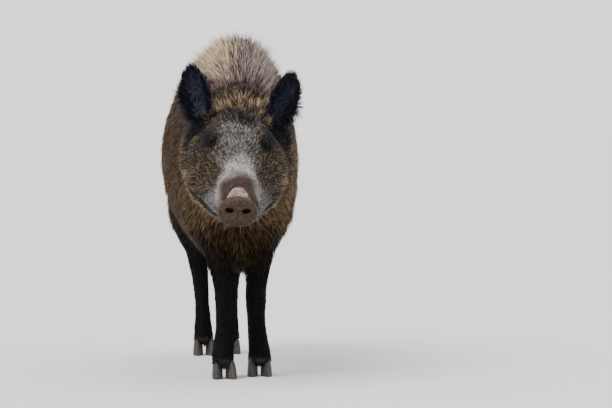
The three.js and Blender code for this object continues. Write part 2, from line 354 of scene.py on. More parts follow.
def refine(shell, eyes_within, snout_to):
    """Halves the cells within so many millimetres of the eyes, and from the nose so far back."""
    centres = np.array([face.calc_center_median() for face in shell.faces])
    apart = np.min([np.linalg.norm(centres - eye, axis=1) for eye in EYES.values()], axis=0)
    inside = (apart < eyes_within * MM) | (to_head(centres)[1] < snout_to)
    faces = [face for face, chosen in zip(shell.faces, inside.tolist()) if chosen]
    edges = list({edge for face in faces for edge in face.edges})
    made = bmesh.ops.subdivide_edges(shell, edges=edges, cuts=1, use_grid_fill=True)
    fresh = {v for face in faces if face.is_valid for v in face.verts}
    fresh.update(v for v in made["geom_inner"] if isinstance(v, bmesh.types.BMVert))
    ease(shell, list(fresh), 3)


# ---- Kinds of coat ----
# Tufts have a length and width in millimetres, a lift from the skin in degrees, and a gap between them.
# Roots and tips have screen colours. A kind with no length is bare skin.

Kind = namedtuple("Kind", "length lift stray width gap flecks root tip")
KINDS = {
    "flank": Kind(40, 20, 10, 1.6, 3.8, 0.42, (14, 9, 5), (124, 91, 54)),
    "back": Kind(46, 26, 11, 1.6, 3.75, 0.5, (24, 18, 15), (156, 128, 102)),
    "mane": Kind(46, 62, 20, 1.2, 2.9, 0.46, (34, 27, 25), (214, 190, 178)),
    # Painted light: the sunlit mane is a lighter copy of the mane, laid on the side the key light comes from.
    "pale_mane": Kind(46, 62, 20, 1.2, 2.9, 0.58, (62, 46, 34), (255, 222, 178)),
    # The belly and thighs are dark coat, painted darker still as shade on the lower half of the body.
    "belly": Kind(36, 18, 9, 1.8, 4.35, 0.4, (12, 9, 7), (70, 53, 38)),
    "chest": Kind(40, 26, 15, 1.4, 3.4, 0.4, (12, 9, 6), (124, 96, 62)),
    "throat": Kind(34, 30, 18, 1.3, 3.1, 0.42, (15, 11, 8), (196, 164, 124)),
    "ruff": Kind(30, 38, 17, 1.3, 2.9, 0.46, (16, 13, 10), (224, 198, 160)),
    "poll": Kind(30, 52, 20, 1.3, 2.8, 0.38, (12, 10, 9), (222, 190, 152)),
    "crown": Kind(20, 38, 18, 1.4, 2.6, 0.2, (9, 8, 11), (112, 102, 98)),
    "forehead": Kind(12, 22, 13, 1.2, 2.3, 0.4, (25, 22, 24), (214, 202, 196)),
    "temple": Kind(14, 20, 14, 1.2, 2.5, 0.27, (12, 10, 9), (190, 166, 136)),
    "cheek": Kind(27, 36, 17, 1.3, 2.8, 0.3, (13, 11, 9), (178, 150, 114)),
    "ear_base": Kind(36, 30, 15, 1.3, 2.7, 0.35, (7, 7, 10), (66, 64, 76)),
    "dark_rim": Kind(9, 17, 13, 1.0, 2.0, 0.42, (8, 8, 11), (94, 91, 99)),
    # The hair round the lids is dark of its own, and painted darker still as shade under the brow.
    "lid_hair": Kind(5, 15, 11, 0.8, 1.7, 0.25, (5, 5, 6), (38, 36, 42)),
    "eyelid": Kind(0, 12, 0, 0.6, 3.0, 1.0, (4, 4, 5), (17, 16, 20)),
    "bridge": Kind(8, 18, 14, 1.1, 2.0, 0.88, (88, 79, 77), (255, 250, 248)),
    "lip": Kind(8, 16, 12, 1.1, 2.2, 0.5, (34, 31, 38), (192, 184, 184)),
    "band": Kind(5, 16, 12, 0.8, 1.6, 0.45, (42, 31, 27), (124, 100, 90)),
    "pad": Kind(2.8, 20, 16, 0.8, 2.3, 0.0, (80, 62, 54), (218, 200, 190)),
    "disc": Kind(0, 10, 0, 0.6, 3.0, 1.0, (48, 34, 25), (84, 64, 51)),
    # Painted shade: the lower part of the disc, darker as if in shadow.
    "chin_of_disc": Kind(0, 10, 0, 0.6, 3.0, 1.0, (32, 22, 16), (62, 45, 36)),
    # Painted shade: the insides of the nostrils are painted dark, as shade in the pits.
    "nostril": Kind(0, 10, 0, 0.6, 3.0, 1.0, (11, 8, 7), (27, 19, 16)),
    # Painted shade: a dark stripe along the line of the lips, for the shadow in the crease.
    "mouth": Kind(7, 14, 10, 0.9, 2.0, 0.3, (6, 5, 5), (30, 25, 22)),
    "jaw": Kind(22, 24, 13, 1.3, 2.8, 0.45, (16, 12, 9), (200, 170, 130)),
    # The ears' hair is black, and the blue in its tips is painted sheen.
    "ear": Kind(12, 22, 12, 1.1, 2.5, 0.45, (9, 9, 12), (88, 91, 112)),
    "ear_fringe": Kind(22, 30, 12, 1.1, 2.1, 0.4, (9, 9, 12), (78, 81, 100)),
    "ear_skirt": Kind(34, 22, 12, 1.2, 2.2, 0.4, (9, 9, 12), (72, 75, 94)),
    "thigh": Kind(25, 15, 10, 1.6, 3.9, 0.35, (9, 7, 5), (66, 51, 36)),
    # The legs' hair is black, and the slight blue in its tips is painted sheen.
    "leg": Kind(12, 10, 8, 1.3, 3.8, 0.4, (3, 3, 4), (15, 15, 21)),
    "foot": Kind(12, 12, 9, 1.2, 3.2, 0.4, (6, 5, 6), (34, 31, 30)),
    "tail": Kind(14, 14, 9, 1.5, 3.2, 0.4, (20, 15, 11), (92, 74, 54)),
    "tail_tuft": Kind(50, 8, 8, 1.6, 2.7, 0.3, (7, 6, 6), (40, 34, 30)),
}
BARE = ("eyelid", "pad", "disc", "chin_of_disc", "nostril")
KIND_NAMES = list(KINDS)
SIZES = np.array([kind[:6] for kind in KINDS.values()], dtype=float)
UNITS = [[MM], [math.pi / 180], [math.pi / 180], [MM], [MM], [1.0]]
ROOTS = np.array([linear(kind.root) for kind in KINDS.values()])
TIPS = np.array([linear(kind.tip) for kind in KINDS.values()])
IS_BARE = np.array([kind in BARE for kind in KINDS], dtype=float)


def lay_coat(surface):
    """How much of each kind of coat grows at each vertex."""
    shares = np.zeros((len(surface.points), len(KINDS)))
    shares[:, 0] = 1

    def lay(kind, where):
        shares[:] *= 1 - where[:, None]
        shares[:, KIND_NAMES.index(kind)] += where

    lay_trunk(surface, lay)
    lay_limbs(surface, lay)
    lay_head(surface, lay)
    lay_ears(surface, lay)
    return surface.spread(shares, 2)


def lay_trunk(surface, lay):
    x, y, z = surface.points.T
    upwards = surface.normals[:, 2]
    wander = noise(surface.points, 0.09, 1)
    top = step(0.42, 0.95, upwards + 4.5 * (z - 0.63) + 0.14 * wander)
    lay("back", top)
    mane = top * (1 - step(0.0, 0.3, y))
    lay("mane", mane)
    # Painted light: a lighter copy of the mane on the top of the right side, towards the key light.
    lay("pale_mane", mane * step(-0.0, -0.055, x + 0.02 * wander) * step(0.67, 0.76, z) * (1 - step(-0.05, 0.1, y)))
    # The belly's darker tones are partly its own and partly painted shade on the skin that faces down.
    lay("belly", step(0.1, 0.7, -upwards) * (1 - step(0.3, 0.4, z)))
    lay("chest", step(-0.17, -0.25, y) * (1 - step(0.34, 0.46, z)))
    neck_front = step(-0.16, -0.29, y + 0.015 * wander) * step(0.3, 0.4, z)
    lay("throat", neck_front * (1 - step(0.5, 0.62, z)))


def lay_limbs(surface, lay):
    z = surface.points[:, 2]
    legs = surface.on("foreleg", "hindleg", rounds=14)
    # The thighs' darker tones are partly their own and partly painted shade low on the body.
    lay("thigh", legs * (1 - step(0.28, 0.4, z)))
    lay("leg", legs * (1 - step(0.2, 0.29, z)))
    lay("foot", legs * (1 - step(0.03, 0.07, z)))
    lay("tail", surface.on("tail", rounds=6))
    lay("tail_tuft", surface.on("tail_tuft", rounds=6))


def lay_head(surface, lay):
    left, back, up = to_head(surface.points)
    side = np.abs(left)
    wander = noise(surface.points, 0.03, 2)
    head = surface.on("head", "lower_jaw", "nose_disc", rounds=5)
    near = 1 - step(330, 400, back)
    lay("temple", head * near)
    lay("jaw", head * step(-20, -50, up))
    lay("ruff", near * step(118, 150, back + 8 * wander) * hill(up, -64 + 8 * wander, 24))
    cheek_edge = near * step(196, 250, back + 10 * wander) * (1 - step(-20, 26, up + 10 * wander))
    lay("cheek", cheek_edge * step(-125, -95, up))
    lay("ruff", near * hill(back, 212 + 10 * wander, 36) * hill(up, -24 + 8 * wander, 17))
    lay("forehead", head * step(110, 136, back) * (1 - step(28, 56, side + 10 * wander)) * step(30, 45, up))
    lay("crown", head * step(236, 284, back + 12 * wander - 0.6 * side) * step(30, 50, up) * (1 - step(52, 82, side)))
    lay("poll", near * step(292, 336, back + 14 * wander + 0.4 * side) * step(36, 66, up))
    for middle_of_base in (-EAR_BASE, EAR_BASE):
        apart = np.hypot(np.hypot(left - middle_of_base, back - 316), up - 48)
        lay("ear_base", 1 - step(34, 58, apart + 6 * wander))
    for name, eye in EYES.items():
        for outwards, backwards, upwards, reach in ((7, -2, -7, 30), (14, 26, 4, 28)):
            spot = eye + (SIDES[name] * outwards * HEAD_LEFT + backwards * HEAD_BACK + upwards * HEAD_UP) * MM
            apart = np.linalg.norm(surface.points - spot, axis=1) / MM
            lay("dark_rim", 1 - step(reach - 20, reach + 10, apart + 8 * wander))
        along, high, out = eye_places(name, surface.points)
        ring = lid_ring(along, high)
        # Partly painted shade: near-black hair round the lids, for the shadow under the brow.
        lay("lid_hair", (1 - step(1.6, 2.5, ring)) * (out > -0.4))
        lay("eyelid", (1 - step(1.15, 1.4, ring)) * (out > 0))
    line = up - lip_line(back)
    lay("lip", head * (1 - step(66, 118, back + 10 * wander)) * step(-16, -4, line) * (1 - step(4, 26, up)))
    lay("bridge", head * step(-8, 12, up) * (1 - step(0.78, 1.12, snout_arch(left, back, BRIDGE) + 0.09 * wander)))
    # Painted shade along the line of the lips and at their corners.
    lay("mouth", head * hill(line, -2, 11) * step(140, 172, back) * (1 - step(190, 216, back)))
    lay("mouth", head * hill(line, -2, 6) * step(14, 26, back) * (1 - step(180, 200, back)))
    above = step(-14, 4, up)
    lay("band", head * above * (1 - step(0.7, 1.2, snout_arch(left, back, BAND) + 0.1 * wander)))
    lay("pad", head * step(0, 12, up) * (1 - step(0.86, 1.06, pad_shape(left, back) + 0.06 * wander)))
    disc = surface.on("nose_disc", rounds=1) * (1 - step(5, 9, back))
    lay("disc", disc)
    # Painted shade on the lower part of the disc.
    lay("chin_of_disc", disc * step(-12, -34, up))
    # Painted shade inside the nostril pits.
    lay("nostril", disc * (1 - step(0.8, 1.1, nostril_ring(left, up))))


def lay_ears(surface, lay):
    for name in ("ear_left", "ear_right"):
        ear = surface.on(name, rounds=3)
        high, across, out = ear_places(name, surface.points)
        outwards = across * SIDES[name.removeprefix("ear_")]
        lay("ear", ear)
        lay("ear_fringe", ear * np.maximum(step(0.5, 0.85, np.abs(across)), step(0.6, 0.9, high)))
        lay("ear_skirt", ear * step(0.2, 0.6, outwards) * (1 - step(-0.3, 0.2, high)))


# The lips meet on a line along the head. Arches over the snout have a half width and a reach back.
MOUTH_BACK = 176
MOUTH_UP = -44
MOUTH_SLOPE = math.radians(-5)
NOSTRIL_SIDE = 18.5
NOSTRIL_UP = 6
EAR_BASE = 99
PAD = (31, 13, 44)  # half widths in front and behind, and reach back
BAND = (54, 98)
BRIDGE = (60, 134)


def lip_line(back):
    return MOUTH_UP - (MOUTH_BACK - back) * math.tan(MOUTH_SLOPE)


def nostril_ring(left, up):
    """Less than 1 inside a nostril."""
    high = up - NOSTRIL_UP
    return np.hypot((np.abs(left) - NOSTRIL_SIDE - 0.25 * high) / 9.5, high / 6.6)


def snout_arch(left, back, size):
    """1 on an arch over the snout, less in front of it."""
    return np.hypot(left / size[0], np.maximum(back, 0) / size[1])


def pad_shape(left, back):
    """1 on the edge of the pad that lies behind the disc, less inside it."""
    front, behind, reach = PAD
    share = np.clip(back / reach, 0, 1)
    across = np.abs(left) / (front + (behind - front) * share)
    return (across**4 + share**4) ** 0.25 + np.maximum(back / reach - 1, 0)


def ear_frame(name):
    """An ear's middle, its axes to the tip, across and through it, and its half sizes along them."""
    corners = read(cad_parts[name].data.vertices, "co", 3)
    centre = (corners.min(axis=0) + corners.max(axis=0)) / 2
    ways = np.linalg.svd(corners - corners.mean(axis=0), full_matrices=False)[2]
    tip, across, through = ways
    tip = tip * np.sign(tip[2])
    across = across * np.sign(across[0])
    through = through * -np.sign(through[1])
    half = np.abs((corners - centre) @ np.array([tip, across, through]).T).max(axis=0)
    return centre, np.array([tip, across, through]), half


def ear_places(name, points):
    centre, ways, half = ear_frame(name)
    return ((points - centre) @ ways.T / half).T


# ---- The lie of the coat ----

def comb_coat(surface):
    """The way that the coat lies at each vertex, along the skin."""
    x, y, z = surface.points.T
    side = np.tanh(x / 0.03)
    zero, one = np.zeros(len(x)), np.ones(len(x))
    lie = np.column_stack([0.15 * side, one, -0.55 * (1 - step(0.5, 0.8, surface.normals[:, 2]))])

    def comb(way, where):
        lie[:] += (unit(np.broadcast_to(way, lie.shape)) - lie) * where[:, None]

    comb_trunk(surface, comb, side, zero)
    comb_limbs(surface, comb)
    comb_head(surface, comb)
    lie = surface.spread(lie, 24)
    lie -= surface.normals * dot(lie, surface.normals)[:, None]
    return unit(lie)


def comb_trunk(surface, comb, side, zero):
    x, y, z = surface.points.T
    front = step(-0.16, -0.26, y)
    comb(np.column_stack([0.75 * side, zero + 0.2, zero - 0.8]), front * (1 - step(0.42, 0.56, z)))
    comb(np.column_stack([1.0 * side, zero + 0.3, zero - 1.0]), front * hill(z, 0.42, 0.09))
    upper = step(0.05, 0.85, surface.normals[:, 2]) * step(0.54, 0.68, z)
    comb((0, 1, 0.15), upper)
    comb(np.column_stack([2.0 * x, zero + 0.9, zero + 0.35]), upper * (1 - step(0.0, 0.25, y)))


def comb_limbs(surface, comb):
    z = surface.points[:, 2]
    comb((0, 0.3, -1), surface.on("foreleg", "hindleg", rounds=14))
    comb((0, 0.05, -1), 1 - step(0.2, 0.32, z))
    comb((0, 0.1, -1), surface.on("tail", rounds=6))


def comb_head(surface, comb):
    left, back, up = to_head(surface.points)
    head = surface.on("head", "lower_jaw", "nose_disc", rounds=5) * (1 - step(340, 420, back))
    side = np.tanh(left / 20)[:, None]
    comb(HEAD_BACK + 0.35 * side * HEAD_LEFT, head)
    cheek = head * step(60, 150, back) * step(30, -10, up)
    comb(0.7 * HEAD_BACK + 0.9 * side * HEAD_LEFT - 0.55 * HEAD_UP, cheek)
    comb(0.9 * HEAD_BACK + 0.5 * side * HEAD_LEFT - 0.2 * HEAD_UP, head * hill(back, 60, 60) * step(20, -10, up))
    comb(HEAD_BACK + 0.25 * side * HEAD_LEFT + 0.5 * HEAD_UP, head * step(240, 300, back) * step(40, 60, up))
    for name in ("ear_left", "ear_right"):
        tip, across, through = ear_frame(name)[1]
        high, over, out = ear_places(name, surface.points)
        spread = 0.8 * (np.sign(over) * over**2)[:, None] * across - 0.35 * through
        outwards = over * SIDES[name.removeprefix("ear_")]
        hang = step(0.2, 0.6, outwards) * (1 - step(-0.3, 0.2, high))
        comb((1 - 1.7 * hang)[:, None] * tip + spread, surface.on(name, rounds=3))


# ---- The skin ----

def tuft_rise(length, lift):
    """How far a tuft's tip stands over the skin."""
    return length / 2 * (np.sin(root_lift(lift)) + np.sin(tip_lift(lift)))


def root_lift(lift):
    return np.minimum(1.4 * lift, math.radians(80))


def tip_lift(lift):
    """A tuft that stands up keeps more of its lift at the tip than one that lies down."""
    return lift * (0.5 + 0.35 * step(math.radians(35), math.radians(62), lift))


def sink_skin(surface, length, lift):
    """Moves the surface inwards by the depth of the coat."""
    depth = surface.spread(0.9 * tuft_rise(length, lift), 10)
    surface.points -= surface.normals * depth[:, None]
    surface.points[:] = surface.spread(surface.points, 1)
    surface.turn_out()


def raise_skin(surface, height, way=None):
    """Moves each vertex by its height in millimetres, outwards or another way."""
    surface.points += (surface.normals if way is None else way) * (height * MM)[:, None]
    surface.turn_out()


def shape_disc(surface):
    """The nose disc: a rim, thickest above, a shallow dish, two nostrils and the groove between them."""
    left, back, up = to_head(surface.points)
    front = 1 - step(-11, -4, back)
    ring = np.hypot(left / 46, (up - 1) / 36)
    nostril = nostril_ring(left, up)
    forwards = 1.6 * hill(ring, 0.86, 0.13) - 1.6 * (1 - step(0.2, 0.75, ring))
    forwards += 2.4 * hill(ring, 0.78, 0.17) * step(6, 26, up)
    forwards += 1.6 * hill(nostril, 1.45, 0.3) - 1.8 * hill(left, 0, 2.2) * step(8, -2, up) * step(-30, -14, up)
    forwards += 0.25 * noise(surface.points, 0.005, 3)
    raise_skin(surface, forwards * front, -HEAD_BACK)
    back = to_head(surface.points)[1]
    deep = -15 + 10 * (1 - step(0.5, 1.12, nostril))
    raise_skin(surface, np.maximum(deep - back, 0) * (nostril < 1.12) * front, HEAD_BACK)


def shape_snout(surface):
    """Behind the disc: a groove, a wrinkled pad on top, and folds in an arch round it."""
    left, back, up = to_head(surface.points)
    pad = pad_shape(left, back)
    band = snout_arch(left, back, BAND)
    top = step(0, 14, up) * step(2, 7, back)
    height = -2.2 * hill(back, 8, 4) * (1 - step(70, 90, back)) * (1 - 0.7 * top * (1 - step(0.8, 1, pad)))
    height += top * (2.8 * (1 - step(0.6, 1.05, pad)) - 2.0 * hill(pad, 1.14, 0.12))
    creases = np.sin(2 * math.pi * (back / 6.5 + 0.8 * noise(surface.points, 0.012, 4)))
    height += top * (1 - step(0.85, 1, pad)) * (0.8 * creases + 0.45 * noise(surface.points, 0.004, 5))
    folds = np.sin(2 * math.pi * (band * 5.5 + 0.25 * noise(surface.points, 0.02, 6)))
    height += 0.7 * folds * step(-30, 0, up) * step(1.1, 1.3, pad) * (1 - step(0.9, 1.25, band)) * step(8, 16, back)
    raise_skin(surface, height)


def shape_mouth(surface):
    """The line of the lips, with the upper lip full above it."""
    left, back, up = to_head(surface.points)
    line = up - lip_line(back)
    along = step(4, 14, back) * (1 - step(172, 196, back)) * surface.on("head", "lower_jaw", rounds=2)
    raise_skin(surface, along * (2.2 * hill(line, 9, 6) - 5.0 * hill(line, 0, 3.0) + 1.2 * hill(line, -8, 5)))


# The lids open in an almond that looks out along the gaze. It reaches so many eye radii each way.
LID_LONG = 1.12
UPPER_LID = 0.52
LOWER_LID = 0.7
LID_POWER = 1.5  # 2 would be an ellipse, less has sharper corners
LID_THICK = 0.14
GAZE = {name: unit(side * 0.68 * HEAD_LEFT - 0.68 * HEAD_BACK + 0.2 * HEAD_UP) for name, side in SIDES.items()}


def eye_places(side, points):
    """Places about an eye in eye radii: back along the lids, up across them, and out along the gaze."""
    gaze = GAZE[side]
    along = unit(HEAD_BACK - gaze * dot(HEAD_BACK, gaze) - 0.12 * HEAD_UP)
    along = unit(along - gaze * dot(along, gaze))
    high = np.cross(gaze, along) * SIDES[side]
    high *= np.sign(high[2])
    return ((points - EYES[side]) @ np.array([along, high, gaze]).T / EYE_RADIUS).T


def lid_ring(along, high):
    """Less than 1 within the opening of the lids."""
    over = high - 0.08 * along
    across = np.where(over > 0, over / UPPER_LID, -over / LOWER_LID)
    return (np.abs(along / LID_LONG) ** LID_POWER + across**LID_POWER) ** (1 / LID_POWER)


def shape_lids(surface):
    for side in SIDES:
        along, high, out = eye_places(side, surface.points)
        ring = lid_ring(along, high)
        apart = np.linalg.norm(surface.points - EYES[side], axis=1)
        lid = 1.0 + LID_THICK * step(0.92, 1.12, ring) - 0.32 * (1 - step(0.8, 1.0, ring))
        hold = (1 - step(1.2, 2.3, ring)) * (out > 0)
        reach = hold * (lid * EYE_RADIUS - apart)
        surface.points += unit(surface.points - EYES[side]) * reach[:, None]
        surface.turn_out()
        near = (out > -0.3) * (1 - step(2.6, 3.4, np.hypot(along, high)))
        long = hill(along, 0, 1.3)
        brow = 4.0 * hill(high, 1.5, 0.42) * hill(along, 0.1, 1.6) - 1.6 * hill(high, 0.9, 0.14) * long
        bag = 1.6 * hill(high, -1.35, 0.3) * long - 1.3 * hill(high, -1.0, 0.14) * long
        bag += 1.0 * hill(high, -2.0, 0.22) * long - 0.9 * hill(high, -1.7, 0.14) * long
        folds = 0.5 * np.sin(7 * ring + 1.5 * noise(surface.points, 0.01, 7)) * step(1.3, 1.7, ring)
        raise_skin(surface, near * (brow + bag + folds))


def skin_piece(mesh, surface, shares, lie):
    mesh.vertices.foreach_set("co", surface.points.astype(np.float32).ravel())
    give(mesh, "root_tone", shares @ ROOTS, "FLOAT_COLOR")
    lit = np.maximum(SIZES[:, 5], IS_BARE)[:, None]
    give(mesh, "tip_tone", shares @ (ROOTS + (TIPS - ROOTS) * lit), "FLOAT_COLOR")
    give(mesh, "bare", shares @ IS_BARE)
    give(mesh, "fine", step(0.2, 0.8, surface.spread((SIZES[:, 0] < 13) @ shares.T, 2)))
    combed = surface.points - 0.85 * lie * dot(surface.points - NOSE, lie)[:, None]
    give(mesh, "combed", combed, "FLOAT_VECTOR")
    skin = piece_of("skin", mesh)
    thin_out(skin, surface)
    finish_piece(skin, hide(), FLESH)


# The share of the skin's faces that stay on the trunk, and on the other parts away from the eyes, snout and feet.
TRUNK_KEPT = 0.1
PLAIN_KEPT = 0.42


def thin_out(skin, surface):
    """Leaves fewer faces where tufts cover the skin."""
    far = step(0.36, 0.42, np.linalg.norm(surface.points - NOSE, axis=1))
    trunk = surface.on("neck", "chest", "belly", "rump", rounds=3) * far > 0.5
    apart = np.min([np.linalg.norm(surface.points - eye, axis=1) for eye in EYES.values()], axis=0)
    plain = (to_head(surface.points)[1] > 76) & (apart > 38 * MM) & (surface.points[:, 2] > 0.08)
    left = len(surface.faces)
    for name, chosen, keep in (("trunk", trunk, TRUNK_KEPT), ("plain", plain & ~trunk, PLAIN_KEPT)):
        group = skin.vertex_groups.new(name=name)
        group.add(np.flatnonzero(chosen).tolist(), 1.0, "REPLACE")
        inside = chosen[surface.faces].all(axis=1).sum()
        thin = skin.modifiers.new(name, "DECIMATE")
        thin.ratio = 1 - (1 - keep) * inside / left
        thin.vertex_group = name
        left *= thin.ratio
    bpy.context.view_layer.update()
    shown = skin.evaluated_get(bpy.context.evaluated_depsgraph_get())
    fewer = bpy.data.meshes.new_from_object(shown)
    skin.modifiers.clear()
    skin.data = fewer
    skin.vertex_groups.clear()


# ---- Tufts ----

PATCH = 0.003  # a tuft's patch on the bake map
CLUMP = 11 * MM  # tufts within about this distance lean together
SHORTEST = 1.8 * MM


class Tufts:
    """Roots of tufts over some faces of the skin, with the coat's fields at each."""

    def __init__(self, surface, fields, faces, rng, thin=1.0):
        corners = surface.faces[faces]
        length, gap = fields["length"][corners].mean(axis=1), fields["gap"][corners].mean(axis=1)
        wanted = thin * surface.areas[faces] / (0.87 * gap**2) * (length > SHORTEST)
        running = np.cumsum(wanted)
        count = int(running[-1])
        at = np.searchsorted(running, np.arange(count) + rng.random(count), "right")
        at = np.minimum(at, len(faces) - 1)
        a, b = rng.random((2, len(at)))
        fold = a + b > 1
        a, b = np.where(fold, 1 - a, a), np.where(fold, 1 - b, b)
        self.weights = np.column_stack([1 - a - b, a, b])
        self.at = at
        self.corners = corners[at]
        self.fields = {name: self.between(values) for name, values in fields.items()}
        self.root = self.between(surface.points)
        self.out = unit(self.between(surface.normals))

    def between(self, values):
        """Each root's value, from those at the corners of its face."""
        return np.einsum("nc,nc...->n...", self.weights, values[self.corners])


def centre_lines(tufts, rng, bends):
    """Points along each tuft from root to tip. A tuft rises steeply and then bends over to lie along the body."""
    count = len(tufts.root)
    length, lift, out = tufts.fields["length"], tufts.fields["lift"], tufts.out
    lie = unit(tufts.fields["lie"] - out * dot(tufts.fields["lie"], out)[:, None])
    across = np.cross(lie, out)
    swirl = 0.13 * noise(tufts.root, 0.06, 11) + 0.13 * noise(tufts.root, 0.02, 12)
    swirl += tufts.fields["stray"] * rng.normal(0, 1, count)
    way = lie * np.cos(swirl)[:, None] + across * np.sin(swirl)[:, None]
    longer = 0.45 * (rng.random(count) > 0.9) * step(math.radians(48), math.radians(60), lift)
    length = length * (rng.uniform(0.72, 1.18, count) + longer)
    lift = np.maximum(lift * (1 + 0.2 * noise(tufts.root, 0.025, 13) + rng.normal(0, 0.12, count)), 0.04)
    points = [tufts.root - out * np.minimum(1.5 * MM, 0.15 * length)[:, None]]
    for turn in range(bends):
        share = turn / (bends - 1)
        angle = (1 - share) * root_lift(lift) + share * tip_lift(lift)
        leg = way * np.cos(angle)[:, None] + out * np.sin(angle)[:, None]
        points.append(points[-1] + leg * (length / bends)[:, None])
    gather(points, tufts.root)
    return points, across


def gather(points, roots):
    """Leans the tips of neighbouring tufts together."""
    drift = np.column_stack([noise(roots, 0.02, seed) for seed in (14, 15, 16)])
    cells = np.floor((roots + 0.4 * CLUMP * drift) / CLUMP).astype(int)
    numbers = np.unique(cells, axis=0, return_inverse=True)[1].ravel()
    held = np.bincount(numbers)
    for k, share in ((-1, 0.08), (-2, 0.03)):
        centres = np.column_stack([np.bincount(numbers, column) / held for column in points[k].T])
        points[k] = points[k] + (centres[numbers] - points[k]) * share


def coat_piece(name, surface, fields, faces, material, rng, bends=2):
    """One mesh of all the tufts that grow on these faces, each a thin three-sided spike."""
    tufts = Tufts(surface, fields, faces, rng)
    points, across = centre_lines(tufts, rng, bends)
    count = len(tufts.root)
    width = tufts.fields["width"] * rng.uniform(0.8, 1.25, count)
    rings = []
    for k in range(bends):
        ahead = unit(points[k + 1] - points[k])
        over = np.cross(across, ahead)
        half = (width * (1 - 0.22 * k) / 2)[:, None]
        rings += [points[k] + across * half, points[k] - across * half, points[k] + over * half * 0.8]
    corners = np.stack(rings + [points[-1]], axis=1)
    pattern, places = spike_pattern(bends)
    size = corners.shape[1]
    triangles = (pattern[None] + (np.arange(count) * size)[:, None, None]).reshape(-1, 3)
    mesh = bpy.data.meshes.new(name)
    mesh.vertices.add(count * size)
    mesh.vertices.foreach_set("co", corners.astype(np.float32).ravel())
    mesh.loops.add(len(triangles) * 3)
    mesh.loops.foreach_set("vertex_index", triangles.astype(np.int32).ravel())
    mesh.polygons.add(len(triangles))
    mesh.polygons.foreach_set("loop_start", np.arange(0, len(triangles) * 3, 3, dtype=np.int32))
    mesh.update(calc_edges=True)
    along = np.append(np.repeat(np.arange(bends) / bends, 3), 1.0)
    give(mesh, "along", np.tile(along, count))
    give(mesh, "fleck", np.repeat(fleck_of(tufts, rng), size))
    give(mesh, "root_tone", np.repeat(tufts.fields["root_tone"], size, axis=0), "FLOAT_COLOR")
    give(mesh, "tip_tone", np.repeat(tufts.fields["tip_tone"], size, axis=0), "FLOAT_COLOR")
    spots = root_map(surface, faces, tufts)
    loops = spots[:, None, :] + PATCH * (places.reshape(-1, 2)[None] - 0.5)
    chart = mesh.uv_layers.new(name="OFBake")
    chart.data.foreach_set("uv", np.clip(loops, 0.001, 0.999).astype(np.float32).ravel())
    finish_piece(piece_of(name, mesh), material)


def fleck_of(tufts, rng):
    """How light each tuft's tip is. Light tufts stand partly in small groups."""
    chance = 0.5 + 0.8 * (rng.random(len(tufts.root)) - 0.5) + 0.1 * noise(tufts.root, 0.006, 17)
    dark = 1 - tufts.fields["flecks"]
    return 0.1 + 0.9 * step(dark - 0.12, dark + 0.12, chance)


def spike_pattern(bends):
    """The triangles of a spike, and where each corner lies on its patch of the bake map."""
    triangles, places = [(0, 2, 1)], [((0, 0), (0.5, 0.2), (1, 0))]
    for k in range(bends):
        low, high = k / bends, (k + 1) / bends
        for i in range(3):
            j = (i + 1) % 3
            u, v = i / 3, (i + 1) / 3
            a, b = 3 * k + i, 3 * k + j
            if k == bends - 1:
                triangles.append((a, b, 3 * bends))
                places.append(((u, low), (v, low), ((u + v) / 2, 1)))
            else:
                triangles += [(a, b, b + 3), (a, b + 3, a + 3)]
                places += [((u, low), (v, low), (v, high)), ((u, low), (v, high), (u, high))]
    return np.array(triangles), np.array(places, dtype=float)


def root_map(surface, faces, tufts):
    """Each root's place on an unwrap of its own stretch of skin."""
    used, inverse = np.unique(surface.faces[faces], return_inverse=True)
    mesh = bpy.data.meshes.new("stretch")
    mesh.from_pydata(surface.points[used].tolist(), [], inverse.reshape(-1, 3).tolist())
    stretch = piece_of("stretch", mesh)
    mesh.uv_layers.new(name="unwrap")
    bpy.context.view_layer.objects.active = stretch
    stretch.select_set(True)
    bpy.ops.object.mode_set(mode="EDIT")
    bpy.ops.mesh.select_all(action="SELECT")
    bpy.ops.uv.smart_project(angle_limit=math.radians(66), island_margin=0.004)
    bpy.ops.object.mode_set(mode="OBJECT")
    spots = read(mesh.uv_layers["unwrap"].data, "uv", 2).reshape(-1, 3, 2)
    bpy.data.objects.remove(stretch)
    bpy.data.meshes.remove(mesh)
    return np.einsum("nc,ncd->nd", tufts.weights, spots[tufts.at])


# Coat pieces: the parts that each covers, whether it is split at the middle line, its slot and its bends.
COATS = {
    "face_coat": (("head", "lower_jaw", "nose_disc"), True, "face_coat", 2),
    "neck_coat": (("neck",), True, "body_coat", 3),
    "shoulder_coat": (("chest",), True, "body_coat", 2),
    "belly_coat": (("belly",), True, "body_coat", 2),
    "rump_coat": (("rump",), True, "body_coat", 2),
    "ear_coat": (("ear_left", "ear_right"), False, "black_coat", 2),
    "tail_coat": (("tail", "tail_tuft"), False, "body_coat", 2),
    "foreleg_coat": (("foreleg",), False, "black_coat", 2),
    "hindleg_coat": (("hindleg",), False, "black_coat", 2),
}


def grow_coat(surface, fields):
    rng = np.random.default_rng(20)
    materials = {"body_coat": bristles(), "face_coat": face_hair(), "black_coat": black_hair()}
    owners = surface.parts[surface.faces[:, 0]]
    centres = surface.points[surface.faces].mean(axis=1)
    for name, (starts, split, slot, bends) in COATS.items():
        owned = np.isin(owners, [i for i, part in enumerate(FLESH) if part.startswith(starts)])
        over = centres[:, 0] - centres[owned, 0].mean()
        halves = {"_left": over >= 0, "_right": over < 0} if split else {"": owned}
        for ending, half in halves.items():
            faces = np.flatnonzero(owned & half)
            coat_piece(name + ending, surface, fields, faces, materials[slot], rng, bends)


# ---- Eyes and hooves ----

